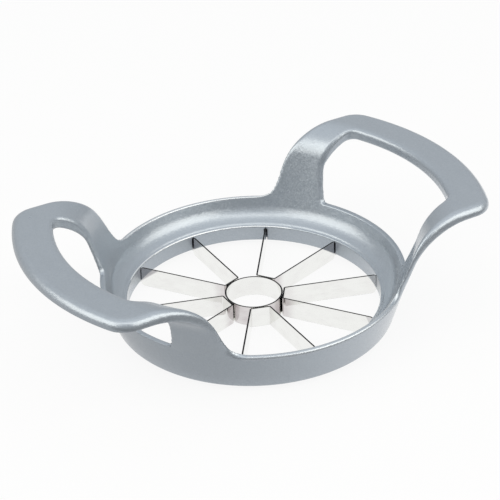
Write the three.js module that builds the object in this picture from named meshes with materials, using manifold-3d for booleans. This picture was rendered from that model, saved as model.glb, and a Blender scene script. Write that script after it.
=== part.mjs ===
// Apple slicer and wedger: a cast ring with two loop handles, five bent blade strips and a core cutter.
// Millimetres, +Z up. Z = 0 is the surface that the blades stand on, and the ring's axis is the Z axis.
// The handles reach out along +X and -X.

import * as THREE from 'three';
import { mergeVertices } from 'three/addons/utils/BufferGeometryUtils.js';
import Module from 'manifold-3d';

const wasm = await Module();
wasm.setup();

// Blades and core cutter
const sheetThickness = 0.6;
const bladeHeight = 8.0;
const coreOuterRadius = 10.9;
const coreEdgeBevel = 0.15;
const bendInnerRadius = 0.4;
const bladeCornerLength = 1.6;
const bladeCornerDrop = 0.7;
const bladeHeelLength = 1.2;
const bladeHeelRise = 2.4;
const seatGap = 0.3;
const pairCount = 5;
const bladeCount = 2 * pairCount;

// Cast ring, in section from the opening outwards
const openingRadius = 47.5;
const openingDraft = 0.1;
const lipAboveBlades = 0.8;
const lipAngle = 12;
const dishWidth = 4.5;
const rimAboveLip = 8.9;
const rimShoulder = 0.5;
const undersideHeight = 2.1;
const footWidth = 5.1;
const footEdgeRadius = 1.2;
const slotDepth = 2.2;

// Flank that rises from the dish into the handles
const flankAngle = 70.5;
const flankThickness = 1.85;
const upperBendRadius = 15.8;
const underBendRadius = 15.7;

// Loop handles, seen from above
const gripAboveRim = 27.1;
const gripThickness = 4.2;
const gripWidth = 14.8;
const fingerRoom = 17.2;
const gripEdgeRadius = 2.0;
const gripCornerRadius = 10.1;
const legInset = 9.6;
const legWidth = 13.0;
const holeCornerRadius = 5.0;
const legFilletRadius = 3.4;
const holeFilletRadius = 5.0;

// Facets and cutting overrun
const ringSegments = 96;
const coreSegments = 60;
const bendSteps = 7;
const dishSteps = 6;
const edgeSteps = 2;
const outlineSteps = 5;
const gripSteps = 16;
const samePointDistance = 0.001;
const overrun = 3.0;

const flank = THREE.MathUtils.degToRad(flankAngle);
const lipSlope = THREE.MathUtils.degToRad(lipAngle);
const bladeStep = (2 * Math.PI) / bladeCount;
const tuckAngle = bladeStep / 4;
const origin = new THREE.Vector2(0, 0);

// Heights and radii that follow from the values above
const lipHeight = bladeHeight + lipAboveBlades;
const rimHeight = lipHeight + rimAboveLip;
const gripTopHeight = rimHeight + gripAboveRim;
const footRadius = openingRadius + footWidth;
const ringRadius = flankRadius(rimHeight - rimShoulder);
const gripInnerRadius = ringRadius + fingerRoom;
const gripOuterRadius = gripInnerRadius + gripWidth;
const legHalfWidth = ringRadius - legInset;
const holeHalfWidth = legHalfWidth - legWidth;

const castFinish = { color: 0x9ba3ac, roughness: 0.42, metalness: 0.55 };
const steelFinish = { color: 0xd6d6d2, roughness: 0.18, metalness: 1.0 };

function toSolid(geometry) {
  const bare = geometry.index ? geometry.clone() : geometry;
  bare.deleteAttribute('normal');
  bare.deleteAttribute('uv');
  const merged = mergeVertices(bare);
  return new wasm.Manifold(new wasm.Mesh({
    numProp: 3,
    vertProperties: new Float32Array(merged.attributes.position.array),
    triVerts: new Uint32Array(merged.index.array),
  }));
}

function toMesh(name, solid, finish) {
  const mesh = solid.getMesh();
  const geometry = new THREE.BufferGeometry();
  geometry.setAttribute('position', new THREE.Float32BufferAttribute(mesh.vertProperties, 3));
  geometry.setIndex(new THREE.Uint32BufferAttribute(mesh.triVerts, 1));
  geometry.computeVertexNormals();
  const part = new THREE.Mesh(geometry, new THREE.MeshStandardMaterial(finish));
  part.name = name;
  return part;
}

// A closed section turned once round the Z axis. Its points are Vector2(radius, height).
function turned(section, segments) {
  const closed = [...section, section[0].clone()];
  if (THREE.ShapeUtils.isClockWise(section)) {
    closed.reverse();
  }
  const geometry = new THREE.LatheGeometry(closed, segments);
  geometry.rotateX(Math.PI / 2);
  return toSolid(geometry);
}

// Points of a circular arc in the section plane, both ends included.
function arcPoints(centreRadius, centreHeight, arcRadius, fromAngle, toAngle, steps) {
  const points = [];
  for (let i = 0; i <= steps; i += 1) {
    const angle = fromAngle + ((toAngle - fromAngle) * i) / steps;
    const radius = centreRadius + arcRadius * Math.cos(angle);
    const height = centreHeight + arcRadius * Math.sin(angle);
    points.push(new THREE.Vector2(radius, height));
  }
  return points;
}

// Inner face of the flank: its radius at a height.
function flankRadius(height) {
  return openingRadius + dishWidth + (height - lipHeight) / Math.tan(flank);
}

// Outer face of the flank, one wall thickness further out.
function flankBackRadius(height) {
  return flankRadius(height) + flankThickness / Math.sin(flank);
}

// The dish is the one arc that leaves the lip at its slope and ends tangent to the flank.
function dishPoints() {
  const run = Math.sin(flank) - Math.sin(lipSlope);
  const rise = Math.cos(lipSlope) - Math.cos(flank);
  const dishRadius = dishWidth / (run - rise / Math.tan(flank));
  const centreRadius = openingRadius - dishRadius * Math.sin(lipSlope);
  const centreHeight = lipHeight + dishRadius * Math.cos(lipSlope);
  const start = lipSlope - Math.PI / 2;
  const end = flank - Math.PI / 2;
  return arcPoints(centreRadius, centreHeight, dishRadius, start, end, dishSteps);
}

// An arc that leaves the flank and ends level, at the given height.
function bendPoints(bendRadius, levelHeight, radiusAt) {
  const centreHeight = levelHeight - bendRadius;
  const startHeight = centreHeight + bendRadius * Math.cos(flank);
  const centreRadius = radiusAt(startHeight) + bendRadius * Math.sin(flank);
  return arcPoints(centreRadius, centreHeight, bendRadius, Math.PI / 2 + flank, Math.PI / 2, bendSteps);
}

// Section through the ring and a handle: dish, flank and grip above, grip, flank and wall below.
function castingSection() {
  const gripUnderHeight = gripTopHeight - gripThickness;
  const wallTopHeight = rimHeight - rimShoulder;
  const reach = gripOuterRadius + overrun;
  const upperBend = bendPoints(upperBendRadius, gripTopHeight, flankRadius);
  const underBend = bendPoints(underBendRadius, gripUnderHeight, flankBackRadius).reverse();
  const footEdge = arcPoints(
    footRadius - footEdgeRadius, undersideHeight + footEdgeRadius, footEdgeRadius, 0, -Math.PI / 2, edgeSteps,
  );
  return [
    ...dishPoints(),
    ...upperBend,
    new THREE.Vector2(reach, gripTopHeight),
    new THREE.Vector2(reach, gripUnderHeight),
    ...underBend,
    new THREE.Vector2(flankBackRadius(wallTopHeight), wallTopHeight),
    ...footEdge,
    new THREE.Vector2(openingRadius + openingDraft, undersideHeight),
  ];
}

// What the ring alone may fill: everything up to the rounded rim.
function rimEnvelope() {
  const innerRadius = flankRadius(rimHeight);
  const outerRadius = flankBackRadius(rimHeight - rimShoulder);
  const shoulderHeight = rimHeight - rimShoulder;
  const innerShoulder = arcPoints(
    innerRadius + rimShoulder, shoulderHeight, rimShoulder, Math.PI, Math.PI / 2, edgeSteps,
  );
  const outerShoulder = arcPoints(
    outerRadius - rimShoulder, shoulderHeight, rimShoulder, Math.PI / 2, 0, edgeSteps,
  );
  const near = openingRadius - overrun;
  const far = outerRadius + overrun;
  return turned([
    new THREE.Vector2(near, undersideHeight - overrun),
    new THREE.Vector2(near, shoulderHeight),
    ...innerShoulder,
    ...outerShoulder,
    new THREE.Vector2(far, shoulderHeight),
    new THREE.Vector2(far, undersideHeight - overrun),
  ], ringSegments);
}

// Centre of the circle that touches the line y = lineY and the circle of circleRadius about the origin.
function cornerCentre(lineY, lineSide, circleRadius, circleSide, cornerRadius) {
  const y = lineY + lineSide * cornerRadius;
  const distance = circleRadius + circleSide * cornerRadius;
  return new THREE.Vector2(Math.sqrt(distance * distance - y * y), y);
}

// Runs of points as one closed outline. Where a run starts at the last run's end, one point is kept.
function joined(...runs) {
  const outline = [];
  for (const point of runs.flat()) {
    const last = outline[outline.length - 1];
    if (!last || last.distanceTo(point) > samePointDistance) {
      outline.push(point);
    }
  }
  if (outline[0].distanceTo(outline[outline.length - 1]) < samePointDistance) {
    outline.pop();
  }
  return outline;
}

// The same points on the other side of the X axis, in reverse order.
function mirrored(points) {
  return points.map((point) => new THREE.Vector2(point.x, -point.y)).reverse();
}

// Finger hole, as an outline in the handle's plan.
function fingerHole() {
  const foot = cornerCentre(holeHalfWidth, -1, ringRadius, 1, holeFilletRadius);
  const corner = cornerCentre(holeHalfWidth, -1, gripInnerRadius, -1, holeCornerRadius);
  const footAngle = foot.angle();
  const cornerAngle = corner.angle();
  const quarter = Math.PI / 2;
  const side = joined(
    arcPoints(foot.x, foot.y, holeFilletRadius, Math.PI + footAngle, quarter, outlineSteps),
    arcPoints(corner.x, corner.y, holeCornerRadius, quarter, cornerAngle, edgeSteps),
  );
  const grip = arcPoints(0, 0, gripInnerRadius, cornerAngle, -cornerAngle, gripSteps);
  const ring = arcPoints(0, 0, ringRadius, -footAngle, footAngle, gripSteps);
  return joined(side, grip, mirrored(side), ring);
}

// Plan of the handle on +X: two legs that run out of the rim and the grip that joins them.
function handlePlan() {
  const foot = cornerCentre(legHalfWidth, 1, ringRadius, 1, legFilletRadius);
  const corner = cornerCentre(legHalfWidth, -1, gripOuterRadius, -1, gripCornerRadius);
  const footAngle = foot.angle();
  const cornerAngle = corner.angle();
  const quarter = Math.PI / 2;
  const side = joined(
    arcPoints(corner.x, corner.y, gripCornerRadius, cornerAngle, quarter, outlineSteps),
    arcPoints(foot.x, foot.y, legFilletRadius, -quarter, footAngle - Math.PI, outlineSteps),
    [new THREE.Vector2(ringRadius, 0).rotateAround(origin, footAngle + tuckAngle)],
  );
  const grip = arcPoints(0, 0, gripOuterRadius, -cornerAngle, cornerAngle, gripSteps);
  const plan = new THREE.Shape(joined(mirrored(side), grip, side));
  plan.holes.push(new THREE.Path(fingerHole()));
  return plan;
}

// Upright block of the handle's plan, with its upper edges rounded.
function handleEnvelope(turn) {
  const base = rimHeight - gripThickness - gripEdgeRadius;
  const geometry = new THREE.ExtrudeGeometry(handlePlan(), {
    depth: gripTopHeight - base - 2 * gripEdgeRadius,
    bevelEnabled: true,
    bevelSize: gripEdgeRadius,
    bevelOffset: -gripEdgeRadius,
    bevelThickness: gripEdgeRadius,
    bevelSegments: edgeSteps,
  });
  geometry.translate(0, 0, base + gripEdgeRadius);
  geometry.rotateZ(turn);
  return toSolid(geometry);
}

function bladeAngle(index) {
  return Math.PI / 2 - bladeStep * index;
}

// Upright slots in the opening's wall, closed above, that hold the blade ends.
function slotCutter(angle) {
  const length = openingDraft + overrun + slotDepth;
  const width = sheetThickness + 2 * seatGap;
  const height = bladeHeight + seatGap + overrun;
  const geometry = new THREE.BoxGeometry(length, width, height);
  geometry.translate(openingRadius + slotDepth - length / 2, 0, bladeHeight + seatGap - height / 2);
  geometry.rotateZ(angle);
  return toSolid(geometry);
}

function castingSolid() {
  const envelope = rimEnvelope().add(handleEnvelope(0)).add(handleEnvelope(Math.PI));
  let casting = turned(castingSection(), ringSegments).intersect(envelope);
  for (let i = 0; i < bladeCount; i += 1) {
    casting = casting.subtract(slotCutter(bladeAngle(i)));
  }
  return casting;
}

// Half of a strip seen from above, the other half being its mirror image across the X axis. A flat web
// lies against the core cutter across +X, and the blade leaves it through a bend, half a step aside.
function stripPlan(bladeEndRadius) {
  const lean = bladeStep / 2;
  const halfSheet = sheetThickness / 2;
  const outerBendRadius = bendInnerRadius + sheetThickness;
  const webFace = coreOuterRadius + seatGap + sheetThickness;
  const besideBlade = halfSheet + bendInnerRadius;
  const bendX = webFace + bendInnerRadius;
  const bendY = bendX * Math.tan(lean) - besideBlade / Math.cos(lean);
  const bladeTurn = Math.PI / 2 + lean;
  const bladeEnd = (across) => new THREE.Vector2(bladeEndRadius, across).rotateAround(origin, lean);
  const outward = [
    ...arcPoints(bendX, bendY, outerBendRadius, Math.PI, bladeTurn, edgeSteps),
    bladeEnd(halfSheet),
    bladeEnd(-halfSheet),
    ...arcPoints(bendX, bendY, bendInnerRadius, bladeTurn, Math.PI, edgeSteps),
  ];
  return new THREE.Shape(joined(outward, mirrored(outward)));
}

// Ring that trims the blade ends: a slanted corner above and a raised heel below.
function bladeEndCutter(bladeEndRadius) {
  const far = bladeEndRadius + overrun;
  const top = bladeHeight + overrun;
  const cornerStart = openingRadius - bladeCornerLength;
  const heelStart = openingRadius - bladeHeelLength;
  const upper = turned([
    new THREE.Vector2(cornerStart, bladeHeight),
    new THREE.Vector2(openingRadius, bladeHeight - bladeCornerDrop),
    new THREE.Vector2(far, bladeHeight - bladeCornerDrop),
    new THREE.Vector2(far, top),
    new THREE.Vector2(cornerStart, top),
  ], ringSegments);
  const lower = turned([
    new THREE.Vector2(heelStart, -overrun),
    new THREE.Vector2(far, -overrun),
    new THREE.Vector2(far, bladeHeelRise),
    new THREE.Vector2(openingRadius, bladeHeelRise),
    new THREE.Vector2(heelStart, bladeHeelRise - bladeHeelLength),
  ], ringSegments);
  return upper.add(lower);
}

function stripSolid(turn) {
  const bladeEndRadius = openingRadius + slotDepth - seatGap;
  const geometry = new THREE.ExtrudeGeometry(stripPlan(bladeEndRadius), {
    depth: bladeHeight,
    bevelEnabled: false,
  });
  geometry.rotateZ(turn);
  return toSolid(geometry).subtract(bladeEndCutter(bladeEndRadius));
}

function coreSolid() {
  const outer = coreOuterRadius;
  const inner = coreOuterRadius - sheetThickness;
  return turned([
    new THREE.Vector2(inner, 0),
    new THREE.Vector2(inner, bladeHeight),
    new THREE.Vector2(outer - coreEdgeBevel, bladeHeight),
    new THREE.Vector2(outer, bladeHeight - coreEdgeBevel),
    new THREE.Vector2(outer, coreEdgeBevel),
    new THREE.Vector2(outer - coreEdgeBevel, 0),
  ], coreSegments);
}

const slicer = new THREE.Group();
slicer.add(toMesh('handle_ring_casting', castingSolid(), castFinish));
slicer.add(toMesh('core_cutter_ring', coreSolid(), steelFinish));
for (let pair = 0; pair < pairCount; pair += 1) {
  const turn = bladeStep + pair * 2 * bladeStep;
  slicer.add(toMesh(`blade_pair_${pair + 1}`, stripSolid(turn), steelFinish));
}

export default slicer;
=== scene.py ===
"""Apple slicer and wedger: a cast ring with two loop handles, five blade strips and a core cutter."""

from functools import partialmethod
from itertools import combinations, product
from math import acos, asin, atan2, cos, pi, radians, sin, sqrt, tan, tau

import bpy
import numpy as np
from bpy.props import FloatProperty, FloatVectorProperty, IntProperty, PointerProperty
from mathutils import Matrix, Quaternion, Vector


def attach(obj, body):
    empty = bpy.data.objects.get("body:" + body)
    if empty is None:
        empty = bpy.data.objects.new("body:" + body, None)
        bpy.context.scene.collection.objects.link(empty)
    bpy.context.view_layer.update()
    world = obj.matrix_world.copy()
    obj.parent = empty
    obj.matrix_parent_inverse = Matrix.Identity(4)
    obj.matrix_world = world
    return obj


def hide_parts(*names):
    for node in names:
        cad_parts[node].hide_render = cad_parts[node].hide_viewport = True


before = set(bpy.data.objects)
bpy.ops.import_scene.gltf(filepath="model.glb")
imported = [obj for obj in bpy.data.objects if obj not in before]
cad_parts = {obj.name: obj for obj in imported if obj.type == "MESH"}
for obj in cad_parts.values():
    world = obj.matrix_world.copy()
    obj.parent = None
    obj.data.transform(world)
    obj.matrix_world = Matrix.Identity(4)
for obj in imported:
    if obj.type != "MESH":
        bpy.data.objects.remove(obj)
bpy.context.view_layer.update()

bl_info = {
    "name": "Apple slicer",
    "version": (1, 0, 0),
    "blender": (4, 5, 0),
    "location": "View3D > Sidebar > Apple slicer",
    "description": "Builds an apple slicer: cast ring with handles, blade strips and core cutter",
    "category": "Object",
}


def length(name, metres, description, lowest=0.0):
    return FloatProperty(
        name=name, default=metres, description=description, min=lowest,
        subtype="DISTANCE", unit="LENGTH", precision=5,
    )


def angle(name, degrees, description):
    return FloatProperty(
        name=name, default=radians(degrees), description=description, subtype="ANGLE", unit="ROTATION",
    )


def amount(name, value, description):
    return FloatProperty(name=name, default=value, description=description, precision=4)


def count(name, value, description):
    return IntProperty(name=name, default=value, description=description, min=1)


def colour(name, rgb, description):
    return FloatVectorProperty(
        name=name, default=rgb, description=description, size=3, subtype="COLOR", min=0.0, max=1.0,
    )


class CastingSizes(bpy.types.PropertyGroup):
    """Sizes of the casting: the ring, its dish and the two handles"""

    opening_radius: length("Opening radius", 0.0475, "Radius of the opening at the lip")
    opening_draft: length("Opening draft", 0.0001, "How much wider the opening is at the underside")
    lip_height: length("Lip height", 0.0088, "Height of the lip over the cutting plane")
    lip_angle: angle("Lip angle", 12.0, "Slope of the dish where it meets the lip")
    dish_width: length("Dish width", 0.0045, "From the opening to the flank's line at the lip's height")
    rim_height: length("Rim height", 0.0177, "Height of the rim over the cutting plane")
    underside_height: length("Underside height", 0.0021, "Height of the underside over the cutting plane")
    foot_radius: length("Foot radius", 0.0526, "Outer radius of the ring at the underside")
    wall_bend: length("Wall bend", 0.025, "Bend radius between the outer wall and the flank's back")
    flank_angle: angle("Flank angle", 70.5, "Slope of the flank that rises into the handles")
    flank_thickness: length("Flank thickness", 0.0019, "Wall thickness of the flank")
    upper_bend: length("Upper bend", 0.0158, "Radius of the bend from the flank into the grip's top")
    under_bend: length("Under bend", 0.0185, "Radius of the bend below the grip")
    grip_top: length("Grip top", 0.0448, "Height of the grip's upper face")
    grip_thickness: length("Grip thickness", 0.0040, "Thickness of the grip")
    grip_outer: length("Grip outer radius", 0.0870, "Outer radius of the grip about the axis")
    grip_inner: length("Grip inner radius", 0.0722, "Inner radius of the grip about the axis")
    grip_corner: length("Grip corner", 0.0101, "Corner radius of the grip in plan")
    leg_side: length("Leg side", 0.0450, "Distance of a leg's outer side from the middle")
    hole_side: length("Hole side", 0.0326, "Distance of the finger hole's side from the middle")
    hole_corner: length("Hole corner", 0.0050, "Corner radius of the finger hole in plan")
    lip_rounding: length("Lip rounding", 0.0007, "Edge radius of the lip")
    foot_rounding: length("Foot rounding", 0.0013, "Edge radius of the foot")
    inner_foot_rounding: length("Inner foot rounding", 0.0003, "Edge radius between opening and underside")
    rim_rounding: length("Rim rounding", 0.0014, "Edge radius of the rim's outer edge")
    rim_inner_rounding: length("Rim inner rounding", 0.0004, "Edge radius of the rim's inner edge")
    under_rounding: length("Under rounding", 0.0006, "Edge radius of the handles' back and lower edges")
    leg_rounding: length("Leg rounding", 0.0012, "Edge radius of the legs' outer sides, at the front")
    top_rounding: length("Top rounding", 0.0030, "Edge radius of the grips' upper outer edges")
    hole_rounding: length("Hole rounding", 0.0014, "Edge radius of the finger holes")
    leg_fillet: length("Leg fillet", 0.0034, "Radius between the rim and a leg's outer side")
    hole_fillet: length("Hole fillet", 0.0016, "Radius between the rim and a finger hole's side")
    rounding_rise: length("Rounding rise", 0.0065, "Height over the rim where the legs are fully rounded")
    spread_depth: length("Spread depth", 0.0130, "Depth below the grip's top where the legs spread")
    hole_spread: amount("Hole spread", 0.31, "How much a leg widens into the finger hole per unit down")
    leg_spread: amount("Leg spread", 0.07, "How much a leg's outer side draws in per unit down")
    slot_depth: length("Slot depth", 0.0022, "Depth of a blade's slot in the opening's wall")
    slot_play: length("Slot play", 0.0003, "Play on each side of a blade in its slot")
    slot_rounding: length("Slot rounding", 0.0001, "Edge radius of the slots")
    coarse_step: length("Coarse step", 0.0007, "Spacing of the surface on the handles")
    fine_step: length("Fine step", 0.00028, "Spacing of the surface at the lip, the rim and the slots")


class BladeSizes(bpy.types.PropertyGroup):
    """Sizes of the blade strips and the core cutter"""

    sheet: length("Sheet", 0.0006, "Thickness of the steel strip")
    height: length("Height", 0.0080, "Height of the strips and the core cutter")
    edge: length("Edge", 0.00007, "Chamfer along the strips' edges")
    core_radius: length("Core radius", 0.0109, "Outer radius of the core cutter")
    weld_gap: length("Weld gap", 0.00005, "Gap between the core cutter and a strip's web")
    bend: length("Bend", 0.0003, "Inner radius of a strip's bends")
    corner: length("Corner", 0.0011, "Length of a blade's upper corner at the opening")
    corner_drop: amount("Corner drop", 0.6, "How far the corner falls, as a share of its length")
    heel: length("Heel", 0.0014, "Radius of a blade's lower corner at the opening")
    strips: count("Strips", 5, "Number of strips, each with two blades")
    core_steps: count("Core steps", 144, "Steps round the core cutter")
    bend_steps: count("Bend steps", 8, "Steps in a strip's bend")
    crease: angle("Crease", 30.0, "Angle between faces from which their edge is sharp")


class Finishes(bpy.types.PropertyGroup):
    """Colours and surface detail"""

    lacquer: colour("Lacquer", (0.423, 0.466, 0.512), "Colour of the metallic lacquer")
    lacquer_dark: colour("Lacquer flakes, dark", (0.352, 0.395, 0.441), "Colour of the darker flakes")
    lacquer_roughness: amount("Lacquer roughness", 0.34, "Roughness of the metallic lacquer")
    flake: length("Flake", 0.00045, "Size of the lacquer's flakes")
    flake_tilt: amount("Flake tilt", 0.10, "How far the flakes lean out of the surface")
    # Edge colour: rubbed lacquer, made brighter still as a painted highlight along the lip and the rim
    worn: colour("Worn edge", (0.76, 0.78, 0.80), "Colour of narrow edges, rubbed bright")
    rim_rubbed_and_highlighted: amount("Worn rim", 0.7, "How far the rim's edges are worn, for 1 at the lip")
    peel: length("Orange peel", 0.0016, "Width of the lacquer's waves")
    steel: colour("Steel", (0.905, 0.91, 0.888), "Colour of the rolled strip")
    # Darker warm colour: stains along the smears, plus painted reflection and shade beside the webs near the
    # core
    steel_stain_and_shade: colour("Steel stain", (0.60, 0.555, 0.565), "Colour of the steel where it was warmed")
    # Painted reflection of the ring's wall on the blades: its colour, its reach and its width in front
    wall_reflection: colour("Haze", (0.36, 0.35, 0.37), "Colour of the haze on the blades at the ring")
    wall_reflection_width: length("Haze width", 0.0076, "Reach of the haze along a back blade's upper edge")
    wall_reflection_front: amount("Haze in front", 0.36, "Width of the haze on the front blades, for 1 at the back")
    steel_roughness: amount("Steel roughness", 0.07, "Roughness of the rolled strip")
    rolling: length("Rolling lines", 0.00012, "Width of the lines left by rolling")
    sheared: colour("Sheared edge", (0.015, 0.015, 0.016), "Colour of the strips' sheared edges")
    burnished: colour("Burnished corner", (0.11, 0.11, 0.11), "Colour of the sheared edges' corners")
    floor: colour("Floor", (0.72, 0.72, 0.72), "Colour of the floor")
    floor_white: amount("Floor white", 0.89, "Share of plain white in the floor that the camera sees")
    floor_mirrored: amount("Floor mirrored", 0.64, "Brightness of the floor that metal mirrors, at the left")
    floor_darker: amount("Floor darker", 0.65, "Share by which it is darker in front")
    floor_brighter: amount("Floor brighter", 0.36, "How much brighter it is at the right")
    floor_inside: amount("Floor inside", 0.96, "Brightness of the mirrored floor inside the ring")


class StageSettings(bpy.types.PropertyGroup):
    """Camera, floor and lights"""

    azimuth: angle("Azimuth", -29.276, "Direction of the camera round the ring's axis")
    elevation: angle("Elevation", 31.270, "Height of the camera over the horizon")
    roll: angle("Roll", -1.783, "Roll of the camera")
    distance: length("Distance", 0.61644, "From the camera to the lip's centre, along the view")
    across: length("Across", 0.001402, "Lip centre, to the right of the view's axis", lowest=-1.0)
    above: length("Above", -0.014916, "Lip centre, above the view's axis", lowest=-1.0)
    lens: amount("Lens", 118.267, "Focal length on a sensor 36 mm wide")
    floor_size: length("Floor size", 6.0, "Side of the floor")
    lamp_distance: length("Lamp distance", 1.2, "From the ring to the softboxes")
    lamp_colour: colour("Lamp colour", (1.0, 0.955, 0.86), "Colour of the softboxes")
    room_low: amount("Room low", 0.49, "Brightness of the room at the floor")
    room_walls: amount("Room walls", 0.17, "How much brighter its walls are")
    room_ceiling: amount("Room ceiling", 0.34, "How much brighter its ceiling is than the walls")
    room_camera: amount("Room at the camera", 0.15, "How much darker it is behind the camera")


def props():
    return bpy.context.scene.apple_slicer


class SlicerProperties(bpy.types.PropertyGroup):
    """All settings of the apple slicer"""

    casting: PointerProperty(type=CastingSizes, name="Casting", description="Sizes of the casting")
    blades: PointerProperty(type=BladeSizes, name="Blades", description="Sizes of the strips")
    finishes: PointerProperty(type=Finishes, name="Finishes", description="Colours and surface detail")
    stage: PointerProperty(type=StageSettings, name="Stage", description="Camera, floor and lights")


# --- node graphs

class Graph:
    """Makes the nodes of one tree."""

    def __init__(self, tree):
        self.tree = tree

    def node(self, kind, inputs=(), **settings):
        """One node, with its settings and then its inputs, by name or by number."""
        made = self.tree.nodes.new(kind)
        for name, value in settings.items():
            setattr(made, name, value)
        for key, value in dict(inputs).items():
            self.feed(made.inputs[key], value)
        return made

    def feed(self, socket, value):
        """Links an input to an output, or sets it to a number, a vector or a colour without alpha."""
        if isinstance(value, Value):
            value = value.socket
        if isinstance(value, bpy.types.NodeSocket):
            self.tree.links.new(value, socket)
        else:
            socket.default_value = (*value, 1.0) if socket.type == "RGBA" else value

    def value(self, made, output=0):
        return Value(self, made.outputs[output])

    def parts(self, vector):
        """The three parts of a vector."""
        made = self.node("ShaderNodeSeparateXYZ", {0: vector})
        return [self.value(made, i) for i in range(3)]


class Value:
    """A number in a node graph, so that sums can be written out."""

    def __init__(self, graph, socket):
        self.graph = graph
        self.socket = socket

    def maths(self, operation, other, reflected=False, clamp=False):
        """Math node on this number and another, which comes first if reflected."""
        first, second = (other, self) if reflected else (self, other)
        return self.graph.value(self.graph.node(
            "ShaderNodeMath", {0: first, 1: second}, operation=operation, use_clamp=clamp,
        ))

    __add__ = partialmethod(maths, "ADD")
    __radd__ = partialmethod(maths, "ADD", reflected=True)
    __sub__ = partialmethod(maths, "SUBTRACT")
    __rsub__ = partialmethod(maths, "SUBTRACT", reflected=True)
    __mul__ = partialmethod(maths, "MULTIPLY")
    __rmul__ = partialmethod(maths, "MULTIPLY", reflected=True)
    __truediv__ = partialmethod(maths, "DIVIDE")
    __rtruediv__ = partialmethod(maths, "DIVIDE", reflected=True)
    __gt__ = partialmethod(maths, "GREATER_THAN")
    power = partialmethod(maths, "POWER")
    largest = partialmethod(maths, "MAXIMUM")
    arctan2 = partialmethod(maths, "ARCTAN2")
    pingpong = partialmethod(maths, "PINGPONG")
    clamped = partialmethod(maths, "MULTIPLY", 1.0, clamp=True)

    def hypot(self, other):
        return (self * self + other * other).power(0.5)

    def uneven(self):
        """How far a noise is from its mean of one half."""
        return self - 0.5

    def ramp(self, low, high):
        """0 below low, 1 above high and smooth between."""
        return self.graph.value(self.graph.node(
            "ShaderNodeMapRange", {"Value": self, "From Min": low, "From Max": high},
            interpolation_type="SMOOTHSTEP",
        ))


class Surface(Graph):
    """Shader graph of one material, with textures in object coordinates."""

    def __init__(self, name):
        self.material = bpy.data.materials.new(name)
        self.material.use_nodes = True
        super().__init__(self.material.node_tree)
        self.tree.nodes.clear()
        self.out = self.node("ShaderNodeOutputMaterial")
        self.place = self.node("ShaderNodeTexCoord").outputs["Object"]

    def drawn_out(self, share):
        """Object coordinates with their level parts scaled, for textures that run along a strip."""
        return self.node("ShaderNodeMapping", {"Vector": self.place, "Scale": (share, share, 1.0)}).outputs[0]

    def noise(self, scale, detail=2.0, roughness=0.5, vector=None):
        return self.value(self.node("ShaderNodeTexNoise", {
            "Vector": vector or self.place, "Scale": scale, "Detail": detail, "Roughness": roughness,
        }))

    def cells(self, scale):
        """Random grey value of each cell, and a random vector with parts from 0 to 1."""
        made = self.node("ShaderNodeTexVoronoi", {"Vector": self.place, "Scale": scale})
        split = self.node("ShaderNodeSeparateColor", {0: made.outputs["Color"]})
        return self.value(split), made.outputs["Color"]

    def vector(self, operation, *inputs):
        return self.node("ShaderNodeVectorMath", dict(enumerate(inputs)), operation=operation).outputs[0]

    def leaning(self, lean, most):
        """Surface normal that leans by a random vector, with parts from 0 to 1."""
        normal = self.node("ShaderNodeNewGeometry").outputs["Normal"]
        aside = self.vector("SUBTRACT", lean, (0.5, 0.5, 0.5))
        return self.vector("NORMALIZE", self.vector("MULTIPLY_ADD", aside, (most, most, most), normal))

    def blend(self, share, first, second):
        return self.node("ShaderNodeMix", {0: share, 6: first, 7: second}, data_type="RGBA").outputs[2]

    def bump(self, height, distance, strength, **normal):
        inputs = {"Height": height, "Distance": distance, "Strength": strength, **normal}
        return self.node("ShaderNodeBump", inputs).outputs[0]

    def shade(self, **inputs):
        """Principled shader, with its inputs by name."""
        named = {key.replace("_", " "): value for key, value in inputs.items()}
        return self.node("ShaderNodeBsdfPrincipled", named).outputs[0]

    def finish(self, shader):
        self.feed(self.out.inputs["Surface"], shader)
        return self.material


def lacquer_material():
    """Silver-grey metallic lacquer: fine flakes, a soft sheen, a slightly uneven film, and narrow edges rubbed
    and lightened as a painted highlight.
    """
    look = props().finishes
    clouds_per_metre = 90.0
    contrast = 0.4  # of flakes and clouds in the colour, for 1 of the sand
    dull_flake, dull_cloud, worn_gloss = 0.10, 0.08, 0.14  # what they add to the roughness or take from it
    surface = Surface("silver_grey_metallic_lacquer")
    flakes, lean = surface.cells(1.0 / look.flake)
    sand = surface.noise(0.8 / look.flake, roughness=0.6)
    clouds = surface.noise(clouds_per_metre, detail=3.0)
    film = surface.noise(1.0 / look.peel)
    flake, cloud = flakes.uneven(), clouds.uneven()
    light = (sand + (flake + cloud) * contrast).clamped()
    base = surface.blend(light, look.lacquer_dark, look.lacquer)
    # narrow edges go towards the edge colour and get glossier: rubbing, plus a painted highlight along the lip
    # and the rim
    worn = surface.value(surface.node("ShaderNodeAttribute", attribute_name="worn"), "Fac")
    base = surface.blend(worn, base, look.worn)
    roughness = look.lacquer_roughness + flake * dull_flake + cloud * dull_cloud - worn * worn_gloss
    leaning = surface.leaning(lean, look.flake_tilt)
    grain = surface.bump(sand, distance=0.00002, strength=0.4, Normal=leaning)
    normal = surface.bump(film, distance=0.00003, strength=0.3, Normal=grain)
    return surface.finish(surface.shade(
        Base_Color=base, Metallic=0.75, Roughness=roughness, Normal=normal,
        Coat_Weight=0.6, Coat_Roughness=0.1,
    ))


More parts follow.
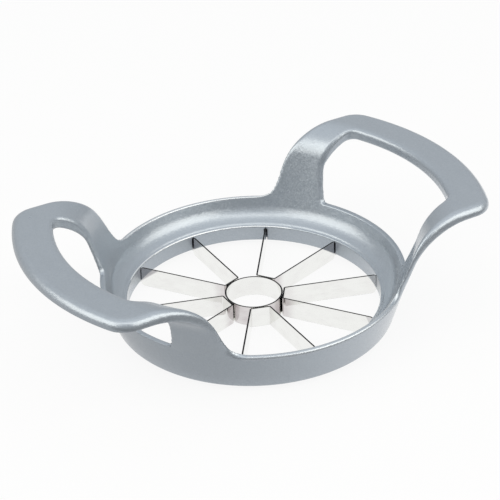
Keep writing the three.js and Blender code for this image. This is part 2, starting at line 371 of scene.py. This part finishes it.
def steel_material():
    """Bright rolled strip: fine lines along it, smears, warm bands beside the webs near the core that are
    painted reflection and shade, and a painted reflection of the ring's wall on the blades at the ring.
    """
    look, casting, blades = props().finishes, props().casting, props().blades
    surface = Surface("bright_rolled_strip")
    smears_per_metre = 300.0
    lines = surface.noise(1.0 / look.rolling, detail=3.0, roughness=0.6, vector=surface.drawn_out(0.02))
    smears = surface.noise(smears_per_metre, detail=3.0, roughness=0.6, vector=surface.drawn_out(0.5))
    x, y, z = surface.parts(surface.place)
    radius = x.hypot(y)

    # bands beside the webs near the core: painted reflection and shade of the bends, in the stain colour, with
    # the smears' stains added
    step = tau / blades.strips
    half = step / 2.0
    from_web = (y.arctan2(x) + (5.0 * step + half)).pingpong(half)  # whole steps keep the turn above 0
    beside_web = from_web.ramp(0.4 * half, 0.6 * half)
    near_core = 1.0 - radius.ramp(1.2 * blades.core_radius, 1.6 * blades.core_radius)
    outside = radius > blades.core_radius - blades.sheet / 2.0
    mark_least, mark_smeared = 0.35, 0.7
    painted_reflection_beside_webs = beside_web * near_core * outside * (mark_least + smears * mark_smeared)
    smear_start, smear_strength = 0.42, 0.5
    stain_and_painted_shade = (painted_reflection_beside_webs + (smears - smear_start) * smear_strength).clamped()
    base = surface.blend(stain_and_painted_shade, look.steel, look.steel_stain_and_shade)

    # painted reflection of the ring's wall: a darker triangle on each blade at the ring, widest at the top,
    # wider and stronger on the back blades
    back = y.ramp(-0.012, 0.010)
    width = look.wall_reflection_width * (look.wall_reflection_front + back * (1.0 - look.wall_reflection_front))
    slant = 0.75  # how far the painted wall reflection narrows downwards
    up = z / blades.height - (casting.opening_radius - radius) / width * slant
    strength = (0.65 + smears * 0.3) * (0.5 + back * 0.5)
    base = surface.blend((up.ramp(0.20, 0.34) * strength).clamped(), base, look.wall_reflection)

    dull_line = dull_smear = 0.06
    roughness = look.steel_roughness + lines.uneven() * dull_line + smears.uneven() * dull_smear
    normal = surface.bump(lines, distance=0.000004, strength=0.5)
    return surface.finish(surface.shade(Base_Color=base, Metallic=1.0, Roughness=roughness, Normal=normal))


def sheared_material():
    """Dull dark edge that shears leave on the strips, with burnished corners."""
    look = props().finishes
    tears_per_metre = 5200.0
    torn = tuple(part * 1.9 for part in look.sheared)
    surface = Surface("sheared_strip_edge")
    tears = surface.noise(tears_per_metre)
    upright = surface.parts(surface.node("ShaderNodeNewGeometry").outputs["Normal"])[2]
    level = (upright * upright).ramp(0.6, 0.8)
    base = surface.blend(level, look.burnished, surface.blend(tears.clamped(), look.sheared, torn))
    return surface.finish(surface.shade(
        Base_Color=base, Metallic=1.0, Roughness=0.38 + tears * 0.2,
        Normal=surface.bump(tears, distance=0.00001, strength=0.4),
    ))


def floor_material():
    """Matt pale floor. The camera sees it near white, with its shadows, and metal mirrors it plain: grey
    round the ring, darker in front and brighter at the right, and near white inside the ring."""
    look = props().finishes
    grains_per_metre = 700.0
    dark_grain = tuple(part * 0.97 for part in look.floor)
    surface = Surface("matt_pale_floor")
    grain = surface.noise(grains_per_metre, detail=3.0)
    base = surface.blend(grain.clamped(), look.floor, dark_grain)
    lit = surface.shade(Base_Color=base, Roughness=0.7 + grain * 0.1)
    path = surface.node("ShaderNodeLightPath")
    mirrored = surface.value(path, "Is Glossy Ray").largest(surface.value(path, "Is Transmission Ray"))
    x, y, _ = surface.parts(surface.place)
    front = 1.0 - y.ramp(-0.10, -0.06)
    right = (x - y * 0.5).ramp(-0.03, 0.07)
    around = (look.floor_mirrored + right * look.floor_brighter) * (1.0 - front * look.floor_darker)
    inside = 1.0 - x.hypot(y).ramp(0.049, 0.058)
    glow = around + inside * (look.floor_inside - around)
    tone = 1.0 - mirrored * (1.0 - glow)
    grey = surface.node("ShaderNodeCombineColor", {0: tone, 1: tone, 2: tone}).outputs[0]
    plain = surface.node("ShaderNodeEmission", {"Color": grey, "Strength": 1.0}).outputs[0]
    seen = (surface.value(path, "Is Camera Ray") * look.floor_white).largest(mirrored)
    mixed = surface.node("ShaderNodeMixShader", {0: seen, 1: lit, 2: plain})
    return surface.finish(mixed.outputs[0])


# --- distance field of the casting

def chain_distance(chain, x, y):
    """Signed distance to a closed chain of lines and arcs, negative on its left, the inside."""
    nearest = np.full(np.broadcast(x, y).shape, np.inf)
    side = np.ones(nearest.shape)
    for kind, *shape in chain:
        if kind == "line":
            ax, ay, bx, by = shape
            dx, dy = bx - ax, by - ay
            share = np.clip(((x - ax) * dx + (y - ay) * dy) / (dx * dx + dy * dy), 0.0, 1.0)
            distance = np.hypot(x - ax - share * dx, y - ay - share * dy)
            inside = dx * (y - ay) - dy * (x - ax) > 0.0
        else:
            cx, cy, radius, start, end = shape
            middle, half = (start + end) / 2.0, abs(end - start) / 2.0
            turn = (np.arctan2(y - cy, x - cx) - middle + pi) % tau - pi
            held = middle + np.clip(turn, -half, half)
            distance = np.hypot(x - cx - radius * np.cos(held), y - cy - radius * np.sin(held))
            within = np.hypot(x - cx, y - cy) < radius
            inside = within if end > start else ~within
        closer = distance < nearest
        nearest = np.where(closer, distance, nearest)
        side = np.where(closer, np.where(inside, -1.0, 1.0), side)
    return nearest * side


def rounded_corner(before, corner, after, radius):
    """The arc that rounds a corner of a chain: its start, the arc and its end."""
    before, corner, after = (np.array(point) for point in (before, corner, after))
    back, ahead = unit(np.stack([before - corner, after - corner]))
    half = acos(float(back @ ahead)) / 2.0
    middle = unit((back + ahead)[None])[0]
    centre = corner + middle * radius / sin(half)
    start = corner + back * radius / tan(half)
    end = corner + ahead * radius / tan(half)
    start_angle = atan2(start[1] - centre[1], start[0] - centre[0])
    end_angle = atan2(end[1] - centre[1], end[0] - centre[0])
    turn = (end_angle - start_angle + pi) % tau - pi
    return start, ("arc", *centre, radius, start_angle, start_angle + turn), end


def between(first, second, share):
    return first + (second - first) * share


def polar(points):
    return np.hypot(points[:, 0], points[:, 1]), np.arctan2(points[:, 1], points[:, 0])


def unit(vectors):
    """Each row as a vector of length 1."""
    return vectors / np.maximum(np.linalg.norm(vectors, axis=1), 1e-9)[:, None]


def overlap(first, second, rounding):
    """What both fields fill, with the edge between them rounded."""
    outside = np.hypot(np.maximum(first + rounding, 0.0), np.maximum(second + rounding, 0.0))
    return np.minimum(-rounding, np.maximum(first, second)) + outside


def joined(first, second, rounding):
    """What either field fills, with a fillet between them."""
    return -overlap(-first, -second, rounding)


def casting_section(s):
    """Section of ring and handle, radius against height: the whole, its front and its back."""
    flank, lip_slope = s.flank_angle, s.lip_angle
    run = sin(flank) - sin(lip_slope)
    rise = cos(lip_slope) - cos(flank)
    dish = s.dish_width / (run - rise / tan(flank))
    dish_r = s.opening_radius - dish * sin(lip_slope)
    dish_z = s.lip_height + dish * cos(lip_slope)
    dish_top = dish_z - dish * cos(flank)
    quarter = pi / 2.0

    def front(height):
        return s.opening_radius + s.dish_width + (height - s.lip_height) / tan(flank)

    def back(height):
        return front(height) + s.flank_thickness / sin(flank)

    inner_foot = (s.opening_radius + s.opening_draft, s.underside_height)
    outer_foot = (s.foot_radius, s.underside_height)
    wall_top = s.rim_height - s.rim_inner_rounding
    wall = (back(wall_top), wall_top)
    grip_under = s.grip_top - s.grip_thickness
    under_z = grip_under - s.under_bend
    under_start = under_z + s.under_bend * cos(flank)
    under_r = back(under_start) + s.under_bend * sin(flank)
    upper_z = s.grip_top - s.upper_bend
    upper_start = upper_z + s.upper_bend * cos(flank)
    upper_r = front(upper_start) + s.upper_bend * sin(flank)
    far = s.grip_outer + s.grip_corner
    lip = np.array((s.opening_radius, s.lip_height))
    lip_ahead = lip + s.dish_width * np.array((cos(lip_slope), sin(lip_slope)))
    above_foot = (inner_foot[0], s.lip_height)
    in_start, in_arc, in_end = rounded_corner(above_foot, inner_foot, outer_foot, s.inner_foot_rounding)
    out_start, out_arc, out_end = rounded_corner(inner_foot, outer_foot, wall, s.foot_rounding)
    under_bend = (back(under_start), under_start)
    bend_start, bend_arc, bend_end = rounded_corner(outer_foot, wall, under_bend, s.wall_bend)
    lip_start, lip_arc, lip_end = rounded_corner(lip_ahead, lip, inner_foot, s.lip_rounding)
    lip_turn = asin((lip_start[0] - dish_r) / dish)
    under = [
        in_arc,
        ("line", *in_end, *out_start),
        out_arc,
        ("line", *out_end, *bend_start),
        bend_arc,
        ("line", *bend_end, *under_bend),
        ("arc", under_r, under_z, s.under_bend, quarter + flank, quarter),
        ("line", under_r, grip_under, far, grip_under),
        ("line", far, grip_under, far, s.grip_top),
    ]
    upper = [
        ("line", far, s.grip_top, upper_r, s.grip_top),
        ("arc", upper_r, upper_z, s.upper_bend, quarter, quarter + flank),
        ("line", front(upper_start), upper_start, front(dish_top), dish_top),
        ("arc", dish_r, dish_z, dish, flank - quarter, lip_turn - quarter),
    ]
    opening = [lip_arc, ("line", *lip_end, *in_start)]
    return under + upper + opening, upper, under + opening


def bar_outline(side, reach, corner):
    """Plan of a bar |y| < side that ends in an arc about the axis, with round corners."""
    y = side - corner
    x = sqrt((reach - corner) ** 2 - y * y)
    turn = atan2(y, x)
    start = -corner
    return [
        ("line", start, -side, x, -side),
        ("arc", x, -y, corner, -pi / 2.0, -turn),
        ("arc", 0.0, 0.0, reach, -turn, turn),
        ("arc", x, y, corner, turn, pi / 2.0),
        ("line", x, side, start, side),
        ("line", start, side, start, -side),
    ]


class CastingField:
    """Signed distance to the casting, in metres, negative inside."""

    near = 0.00002  # reach of the closest slopes, in metres
    wide = 0.75  # reach of the first slopes, in grid steps
    flattest = 0.05  # least squared slope that a move is worked out with
    worn_from, worn_full = 0.25, 0.5625  # bends where the rubbing and its painted highlight start and are full, for 1 on the rim's inner edge

    def __init__(self, sizes, blades):
        self.sizes = sizes
        self.section, self.front, self.back = casting_section(sizes)
        self.outline = bar_outline(sizes.leg_side, sizes.grip_outer, sizes.grip_corner)
        self.hole = bar_outline(sizes.hole_side, sizes.grip_inner, sizes.hole_corner)
        self.step = pi / blades.strips
        self.slot_half = blades.sheet / 2.0 + sizes.slot_play
        self.slot_top = blades.height - blades.corner * blades.corner_drop + sizes.slot_rounding

    def plans(self, radius, turn):
        """Fields that depend on the plan alone: outline, finger hole and slots."""
        x, y = np.abs(radius * np.cos(turn)), radius * np.sin(turn)
        aside = (turn - pi / 2.0 + self.step / 2.0) % self.step - self.step / 2.0
        across = np.abs(radius * np.sin(aside)) - self.slot_half
        along = radius * np.cos(aside) - self.sizes.opening_radius - self.sizes.slot_depth
        return chain_distance(self.outline, x, y), chain_distance(self.hole, x, y), np.maximum(across, along)

    def faces(self, radius, height):
        """Distances to the section's front and to its back, negative inside."""
        outside = chain_distance(self.section, radius, height) > 0.0
        front, back = (np.abs(chain_distance(chain, radius, height)) for chain in (self.front, self.back))
        nearer = front <= back
        return np.where(outside & nearer, front, -front), np.where(outside & ~nearer, back, -back)

    def combined(self, front, back, plans, height):
        s = self.sizes
        outline, hole, slot = plans
        over_rim = height - s.rim_height
        below = np.maximum(s.grip_top - s.spread_depth - height, 0.0)
        below = below * below / (below + s.rim_inner_rounding)
        outer = joined(outline + s.leg_spread * below, over_rim, s.leg_fillet)
        inner = joined(-hole - s.hole_spread * below, over_rim, s.hole_fillet)
        rise = np.clip(over_rim / s.rounding_rise, 0.0, 1.0)
        top = np.clip(1.0 - (s.grip_top - height) / s.upper_bend, 0.0, 1.0)
        leg = between(s.leg_rounding, s.top_rounding, top * top * (3.0 - 2.0 * top))
        field = overlap(front, outer, between(s.rim_inner_rounding, leg, rise))
        field = overlap(back, field, between(s.rim_rounding, s.under_rounding, rise))
        field = overlap(field, inner, between(s.rim_inner_rounding, s.hole_rounding, rise))
        return overlap(field, -np.maximum(slot, height - self.slot_top), s.slot_rounding)

    def at(self, points):
        radius, turn = polar(points)
        height = points[:, 2]
        return self.combined(*self.faces(radius, height), self.plans(radius, turn), height)

    def edges(self, points):
        """Narrow rounded edges, rubbed and lightened as a painted highlight: 1 on them, 0 on broad faces and
        in the finger holes, by the surface's bend.
        """
        narrowest = self.sizes.rim_inner_rounding
        reach = narrowest / 2.0
        here = 2.0 * self.at(points)
        bend = sum(self.at(points + step) + self.at(points - step) - here for step in np.eye(3) * reach)
        worn = (bend * narrowest / reach ** 2 - self.worn_from) / (self.worn_full - self.worn_from)
        hole = self.plans(*polar(points))[1]
        outside = np.clip(1.0 + hole / self.sizes.hole_fillet, 0.0, 1.0)
        return np.clip(worn, 0.0, 1.0) * outside

    def on_grid(self, radii, turns, heights):
        front, back = (face[:, None, :] for face in self.faces(radii[:, None], heights[None, :]))
        plans = [plan[:, :, None] for plan in self.plans(radii[:, None], turns[None, :])]
        return self.combined(front, back, plans, heights[None, None, :])

    def gradient(self, points, reach):
        reach = np.broadcast_to(reach, len(points))
        slopes = []
        for axis in np.eye(3):
            shift = axis * reach[:, None]
            slopes.append((self.at(points + shift) - self.at(points - shift)) / (2.0 * reach))
        return np.stack(slopes, 1)

    def settled(self, points):
        """Points moved onto the surface, and its outward normals there."""
        steps = np.where(points[:, 2] > self.sizes.rim_height, self.sizes.coarse_step, self.sizes.fine_step)
        ahead = unit(self.gradient(points, steps * self.wide))
        for _ in range(4):
            away = np.clip(self.at(points), -steps / 2.0, steps / 2.0)
            points = points - ahead * away[:, None]
        furthest = self.sizes.coarse_step / 2.0
        for _ in range(3):
            slope = self.gradient(points, self.near)
            move = slope * (self.at(points) / np.maximum((slope ** 2).sum(1), self.flattest))[:, None]
            size = np.maximum(np.linalg.norm(move, axis=1), 1e-12)
            points = points - move * np.minimum(1.0, furthest / size)[:, None]
        return points, unit(self.gradient(points, self.near))


def graded(*stops):
    """Grid lines from stop to stop: (start, spacing), (next start, spacing), ..., (end, any)."""
    lines = []
    for (start, spacing), (end, _) in zip(stops, stops[1:]):
        steps = max(1, round((end - start) / spacing))
        lines.extend(start + (end - start) * i / steps for i in range(steps))
    return np.array(lines + [stops[-1][0]])


def net(field, radii, turns, heights):
    """Quads that separate inside from outside on a cylindrical grid, one vertex in each crossed cell."""
    wide, around, tall = field.shape
    closed = np.concatenate([field, field[:, :1]], 1)
    inside = closed < 0.0
    corners = list(product((0, 1), repeat=3))
    filled = sum(
        inside[i:wide - 1 + i, j:around + j, k:tall - 1 + k].astype(np.int8) for i, j, k in corners
    )
    crossed = (filled > 0) & (filled < 8)
    number = -np.ones(crossed.shape, int)
    cells = np.argwhere(crossed)
    number[crossed] = np.arange(len(cells))
    lines = (radii, np.append(turns, turns[0] + tau), heights)
    total, hits = np.zeros((len(cells), 3)), np.zeros(len(cells))
    for first, second in combinations(corners, 2):
        if np.abs(np.subtract(first, second)).sum() != 1:
            continue
        start, end = cells + first, cells + second
        start_value, end_value = closed[tuple(start.T)], closed[tuple(end.T)]
        cut = (start_value < 0.0) != (end_value < 0.0)
        share = np.where(cut, start_value / np.where(cut, start_value - end_value, 1.0), 0.0)
        low, high = (np.stack([lines[m][ends[:, m]] for m in range(3)], 1) for ends in (start, end))
        total += np.where(cut[:, None], low + (high - low) * share[:, None], 0.0)
        hits += cut
    radius, turn, height = (total / hits[:, None]).T
    points = np.stack([radius * np.cos(turn), radius * np.sin(turn), height], 1)
    quads = []  # one round each grid line with a crossing, from the four cells about it
    for axis, ways in enumerate((((0, -1, -1), (0, 0, -1), (0, 0, 0), (0, -1, 0)),
                                 ((-1, 0, 0), (0, 0, 0), (0, 0, -1), (-1, 0, -1)),
                                 ((-1, -1, 0), (0, -1, 0), (0, 0, 0), (-1, 0, 0)))):
        ahead = np.roll(inside[:, :-1], -1, axis)
        change = inside[:, :-1] != ahead
        change[-1] = False
        change[:, :, -1] = False
        if axis != 0:
            change[0] = False
        if axis != 2:
            change[:, :, 0] = False
        edges = np.argwhere(change)
        quad = []
        for way in ways:
            cell = edges + way
            cell[:, 1] %= around
            quad.append(number[tuple(cell.T)])
        quad = np.stack(quad, 1)
        inward = inside[tuple(edges.T)]
        quads.append(np.where(inward[:, None], quad, quad[:, ::-1]))
    return points, np.concatenate(quads)


# --- pieces

def new_mesh(name, vertices, faces):
    mesh = bpy.data.meshes.new(name)
    mesh.from_pydata(vertices, [], faces)
    if not faces or mesh.validate():
        raise RuntimeError(f"{name} is empty or has faulty faces")
    mesh.shade_smooth()
    return mesh


def new_object(name, data, *materials):
    for material in materials:
        data.materials.append(material)
    made = bpy.data.objects.new(name, data)
    bpy.context.scene.collection.objects.link(made)
    return made


def dressed(piece, slot, *nodes):
    """Hands a finished piece to the frame, in place of its CAD nodes."""
    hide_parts(*nodes)
    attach(piece, "root")


def swept(name, stations, blades, closed):
    """Mesh of an upright strip. A station has a place in plan, a side vector, a low and a high end."""
    half, edge = blades.sheet / 2.0, blades.edge
    vertices, faces = [], []
    for x, y, nx, ny, low, high in stations:
        for across, up in (
            (half, low + edge), (half, high - edge), (half - edge, high), (edge - half, high),
            (-half, high - edge), (-half, low + edge), (edge - half, low), (half - edge, low),
        ):
            vertices.append((x + nx * across, y + ny * across, up))
    total, ring = len(stations), 8
    for i in range(total if closed else total - 1):
        j = (i + 1) % total
        for k in range(ring):
            m = (k + 1) % ring
            faces.append((i * ring + k, i * ring + m, j * ring + m, j * ring + k))
    if not closed:
        faces.append(tuple(reversed(range(ring))))
        faces.append(tuple((total - 1) * ring + k for k in range(ring)))
    mesh = new_mesh(name, vertices, faces)
    mesh.set_sharp_from_angle(angle=blades.crease)
    volume = sum(Vector(mesh.vertices[p.vertices[0]].co).dot(Vector(p.normal)) * p.area for p in mesh.polygons)
    if volume < 0.0:
        mesh.flip_normals()
    return mesh


def fallen(reached, radius):
    """How far a quarter circle has fallen, some way along from its start."""
    reached = min(max(reached, 0.0), radius)
    return radius - sqrt(radius ** 2 - reached ** 2)


def strip_stations(casting, blades):
    """One strip in plan about +X: blade, bend, web, bend and blade."""
    lean = pi / (2.0 * blades.strips)
    middle = blades.bend + blades.sheet / 2.0
    bend_x = blades.core_radius + blades.weld_gap + blades.sheet / 2.0 + middle
    bend_y = bend_x * tan(lean) - middle / cos(lean)
    stations = []
    for turn in np.linspace(pi, pi / 2.0 + lean, blades.bend_steps + 1):
        x, y = cos(turn), sin(turn)
        stations.append((bend_x + middle * x, bend_y + middle * y, -x, -y, 0.0, blades.height))
    ahead = (cos(lean), sin(lean))
    aside = (sin(lean), -cos(lean))
    begin = stations[-1][0] * ahead[0] + stations[-1][1] * ahead[1]
    heel_start = casting.opening_radius - blades.heel
    corner_start = casting.opening_radius - blades.corner
    places = set(np.linspace(begin, heel_start, 12)[1:])
    for start, radius, stops in ((heel_start, blades.heel, 9), (corner_start, blades.corner, 7)):
        places |= {start + radius * sin(turn) for turn in np.linspace(0.0, pi / 2.0, stops)}
    places.add(casting.opening_radius + casting.slot_depth - casting.slot_play)
    for place in sorted(places):
        low = fallen(place - heel_start, blades.heel)
        drop = fallen(place - corner_start, blades.corner) * blades.corner_drop
        stations.append((place * ahead[0], place * ahead[1], *aside, low, blades.height - drop))
    mirrored = [(x, -y, nx, -ny, low, high) for x, y, nx, ny, low, high in reversed(stations)]
    return mirrored + stations


def repeated(piece, blades, sheet, edge):
    """Copies a strip about the axis by geometry nodes, with its materials, and keeps the plain mesh."""
    edge_slope = 0.3  # squared upright part of the normal from which a face is a sheared edge
    tree = bpy.data.node_groups.new("strips_about_axis", "GeometryNodeTree")
    for way in ("INPUT", "OUTPUT"):
        tree.interface.new_socket("Strips", in_out=way, socket_type="NodeSocketGeometry")
    graph = Graph(tree)
    step = tau / blades.strips
    turn = graph.value(graph.node("GeometryNodeInputIndex")) * step + step / 2.0
    copies = graph.node("GeometryNodeInstanceOnPoints", {
        "Points": graph.node("GeometryNodePoints", {"Count": blades.strips}).outputs[0],
        "Instance": graph.node("NodeGroupInput").outputs[0],
        "Rotation": graph.node("ShaderNodeCombineXYZ", {"Z": turn}).outputs[0],
    })
    strips = graph.node("GeometryNodeRealizeInstances", {"Geometry": copies.outputs[0]})
    upright = graph.parts(graph.node("GeometryNodeInputNormal").outputs[0])[2]
    for chosen, material in ((True, sheet), (upright * upright > edge_slope, edge)):
        strips = graph.node("GeometryNodeSetMaterial", {
            "Geometry": strips.outputs[0], "Selection": chosen, "Material": material,
        })
    graph.node("NodeGroupOutput", {0: strips.outputs[0]})

    modifier = piece.modifiers.new("repeat", "NODES")
    modifier.node_group = tree
    bpy.context.view_layer.update()
    evaluated = piece.evaluated_get(bpy.context.evaluated_depsgraph_get())
    mesh = bpy.data.meshes.new_from_object(evaluated)
    piece.modifiers.remove(modifier)
    piece.data = mesh


class SLICER_OT_casting(bpy.types.Operator):
    """Make the casting: ring, dish and both loop handles in one lacquered piece"""

    bl_idname = "slicer.casting"
    bl_label = "Casting"

    def execute(self, context):
        s, blades = props().casting, props().blades
        field = CastingField(s, blades)
        fine, coarse = s.fine_step, s.coarse_step
        middle = (fine + coarse) / 2.0
        past_wall = s.foot_radius + s.grip_thickness
        radii = graded(
            (s.opening_radius - 2.0 * fine, fine), (s.opening_radius + s.slot_depth + 2.0 * fine, middle),
            (past_wall, coarse), (s.grip_outer + 2.0 * coarse, coarse),
        )
        heights = graded(
            (s.underside_height - 2.0 * fine, fine), (s.underside_height + s.foot_rounding, middle),
            (field.slot_top - 2.0 * fine, fine), (s.lip_height + 3.0 * fine, middle),
            (s.rim_height - s.rim_rounding, fine), (s.rim_height + 2.0 * fine, coarse),
            (s.grip_top - s.grip_thickness - coarse, middle), (s.grip_top + 2.0 * middle, middle),
        )
        near = 2.2 * field.slot_half / s.opening_radius  # half the turn that is fine, about a slot
        first = pi / 2.0 - field.step * blades.strips
        around = graded((first - near, fine / s.opening_radius), (first + near, coarse / s.foot_radius),
                        (first - near + field.step, 1.0))
        turns = np.concatenate([around[:-1] + field.step * i for i in range(2 * blades.strips)])
        points, quads = net(field.on_grid(radii, turns, heights), radii, turns, heights)
        points, normals = field.settled(points)
        mesh = new_mesh("handle_ring", points.tolist(), quads.tolist())
        mesh.normals_split_custom_set_from_vertices(normals.tolist())
        z = points[:, 2]
        # painted highlight of the rubbed edges: from above the slots to just over the rim, weaker above the
        # lip, none in the finger holes
        worn = field.edges(points) * (z > field.slot_top + s.slot_play) * (z < s.rim_height + s.hole_fillet)
        worn *= np.where(z > s.lip_height + s.lip_rounding, props().finishes.rim_rubbed_and_highlighted, 1.0)
        mesh.attributes.new("worn", "FLOAT", "POINT").data.foreach_set("value", worn)
        piece = new_object("handle_ring", mesh, lacquer_material())
        dressed(piece, "lacquered_casting", "handle_ring_casting")
        return {"FINISHED"}


class SLICER_OT_core_cutter(bpy.types.Operator):
    """Make the core cutter: a short upright tube of steel strip"""

    bl_idname = "slicer.core_cutter"
    bl_label = "Core cutter"

    def execute(self, context):
        blades = props().blades
        middle = blades.core_radius - blades.sheet / 2.0
        turns = np.linspace(0.0, tau, blades.core_steps, endpoint=False)
        sides = [(cos(turn), sin(turn)) for turn in turns]
        stations = [(middle * x, middle * y, x, y, 0.0, blades.height) for x, y in sides]
        mesh = swept("core_cutter", stations, blades, closed=True)
        piece = new_object("core_cutter", mesh, steel_material(), sheared_material())
        for face in mesh.polygons:
            face.material_index = int(abs(face.normal.z) > 0.5)
        dressed(piece, "blade_steel", "core_cutter_ring")
        return {"FINISHED"}


class SLICER_OT_blade_strips(bpy.types.Operator):
    """Make the blade strips: bent steel strips, each with two blades, repeated about the axis"""

    bl_idname = "slicer.blade_strips"
    bl_label = "Blade strips"

    def execute(self, context):
        casting, blades = props().casting, props().blades
        strip = swept("blade_strips", strip_stations(casting, blades), blades, closed=False)
        piece = new_object("blade_strips", strip)
        materials = bpy.data.materials
        repeated(piece, blades, materials["bright_rolled_strip"], materials["sheared_strip_edge"])
        if len(piece.data.polygons) != len(strip.polygons) * blades.strips:
            raise RuntimeError("the strips weren't all made")
        dressed(piece, "blade_steel", *(f"blade_pair_{i + 1}" for i in range(blades.strips)))
        return {"FINISHED"}


# --- stage

# Name, degrees from the picture's right towards the camera and on, degrees up, width and height in metres,
# brightness, with a white surface as 1, and roll in degrees
SOFTBOXES = (
    ("right_softbox", 26.0, 34.0, (1.25, 0.88), 1.90, -22.0),
    ("left_softbox", 159.0, 35.0, (1.32, 0.85), 1.74, 22.0),
    ("upper_softbox", 90.0, 63.0, (0.7, 0.35), 1.29, 0.0),
)
ROOM_TINT = (0.975, 1.0, 1.025)


def direction(azimuth, elevation):
    return Vector((cos(azimuth) * cos(elevation), sin(azimuth) * cos(elevation), sin(elevation)))


def add_camera(scene, stage, lip_height):
    """Camera fitted to the photo."""
    turn, rise, roll = stage.azimuth, stage.elevation, stage.roll
    toward, level = direction(turn - pi / 2.0, rise), direction(turn, 0.0)
    upward = toward.cross(level)
    right = level * cos(roll) + upward * sin(roll)
    up = upward * cos(roll) - level * sin(roll)
    camera = new_object("camera", bpy.data.cameras.new("camera"))
    camera.data.lens = stage.lens
    camera.data.sensor_width = 36.0
    lip_centre = Vector((0.0, 0.0, lip_height))
    place = lip_centre + toward * stage.distance - right * stage.across - up * stage.above
    camera.matrix_world = Matrix.Translation(place) @ Matrix((right, up, toward)).transposed().to_4x4()
    scene.camera = camera


def add_softbox(stage, name, turn, rise, size, brightness, roll):
    """Rectangular area lamp that faces the ring."""
    ahead = direction(stage.azimuth - radians(turn), radians(rise))
    lamp = bpy.data.lights.new(name, "AREA")
    lamp.shape = "RECTANGLE"
    lamp.size, lamp.size_y = size
    lamp.energy = brightness * pi * size[0] * size[1]
    lamp.color = stage.lamp_colour
    made = new_object(name, lamp)
    made.location = ahead * stage.lamp_distance
    spin = Quaternion((0.0, 0.0, 1.0), radians(roll))
    made.rotation_euler = ((-ahead).to_track_quat("-Z", "Y") @ spin).to_euler()


def add_world(scene, stage):
    """Pale room, brighter towards its ceiling and darker low down behind the camera."""
    scene.world = bpy.data.worlds.new("studio")
    scene.world.use_nodes = True
    graph = Graph(scene.world.node_tree)
    graph.tree.nodes.clear()
    x, y, height = graph.parts(graph.node("ShaderNodeTexCoord").outputs["Generated"])
    away = x * -sin(stage.azimuth) + y * cos(stage.azimuth)
    glow = stage.room_low + height.ramp(-0.1, 0.45) * stage.room_walls
    glow = glow + height.ramp(0.5, 0.95) * stage.room_ceiling
    glow = glow - away.ramp(0.2, -0.9) * (1.0 - height.ramp(0.3, 0.7)) * stage.room_camera
    colour_parts = {i: glow * part for i, part in enumerate(ROOM_TINT)}
    tint = graph.node("ShaderNodeCombineColor", colour_parts).outputs[0]
    room = graph.node("ShaderNodeBackground", {"Color": tint, "Strength": 1.0})
    graph.node("ShaderNodeOutputWorld", {"Surface": room.outputs[0]})


class SLICER_OT_stage(bpy.types.Operator):
    """Make the stage: camera, pale floor, soft lamps and world"""

    bl_idname = "slicer.stage"
    bl_label = "Stage"

    def execute(self, context):
        scene, stage = context.scene, props().stage
        add_camera(scene, stage, props().casting.lip_height)
        scene.view_settings.view_transform = "Standard"
        half = stage.floor_size / 2.0
        corners = [(-half, -half, 0.0), (half, -half, 0.0), (half, half, 0.0), (-half, half, 0.0)]
        mesh = new_mesh("floor", corners, [(0, 1, 2, 3)])
        new_object("floor", mesh, floor_material())
        for softbox in SOFTBOXES:
            add_softbox(stage, *softbox)
        add_world(scene, stage)
        return {"FINISHED"}


class SLICER_PT_panel(bpy.types.Panel):
    """Lists the operators of the apple slicer"""

    bl_label = "Apple slicer"
    bl_idname = "SLICER_PT_panel"
    bl_space_type = "VIEW_3D"
    bl_region_type = "UI"
    bl_category = "Apple slicer"

    def draw(self, context):
        for operator in OPERATORS:
            self.layout.operator(operator.bl_idname)


GROUPS = (CastingSizes, BladeSizes, Finishes, StageSettings, SlicerProperties)
OPERATORS = (SLICER_OT_stage, SLICER_OT_casting, SLICER_OT_core_cutter, SLICER_OT_blade_strips)


def register():
    for made in (*GROUPS, *OPERATORS, SLICER_PT_panel):
        bpy.utils.register_class(made)
    bpy.types.Scene.apple_slicer = PointerProperty(type=SlicerProperties)


def unregister():
    del bpy.types.Scene.apple_slicer
    for made in reversed((*GROUPS, *OPERATORS, SLICER_PT_panel)):
        bpy.utils.unregister_class(made)


def main():
    register()
    bpy.ops.slicer.stage()
    bpy.ops.slicer.casting()
    bpy.ops.slicer.core_cutter()
    bpy.ops.slicer.blade_strips()


if __name__ == "__main__":
    main()
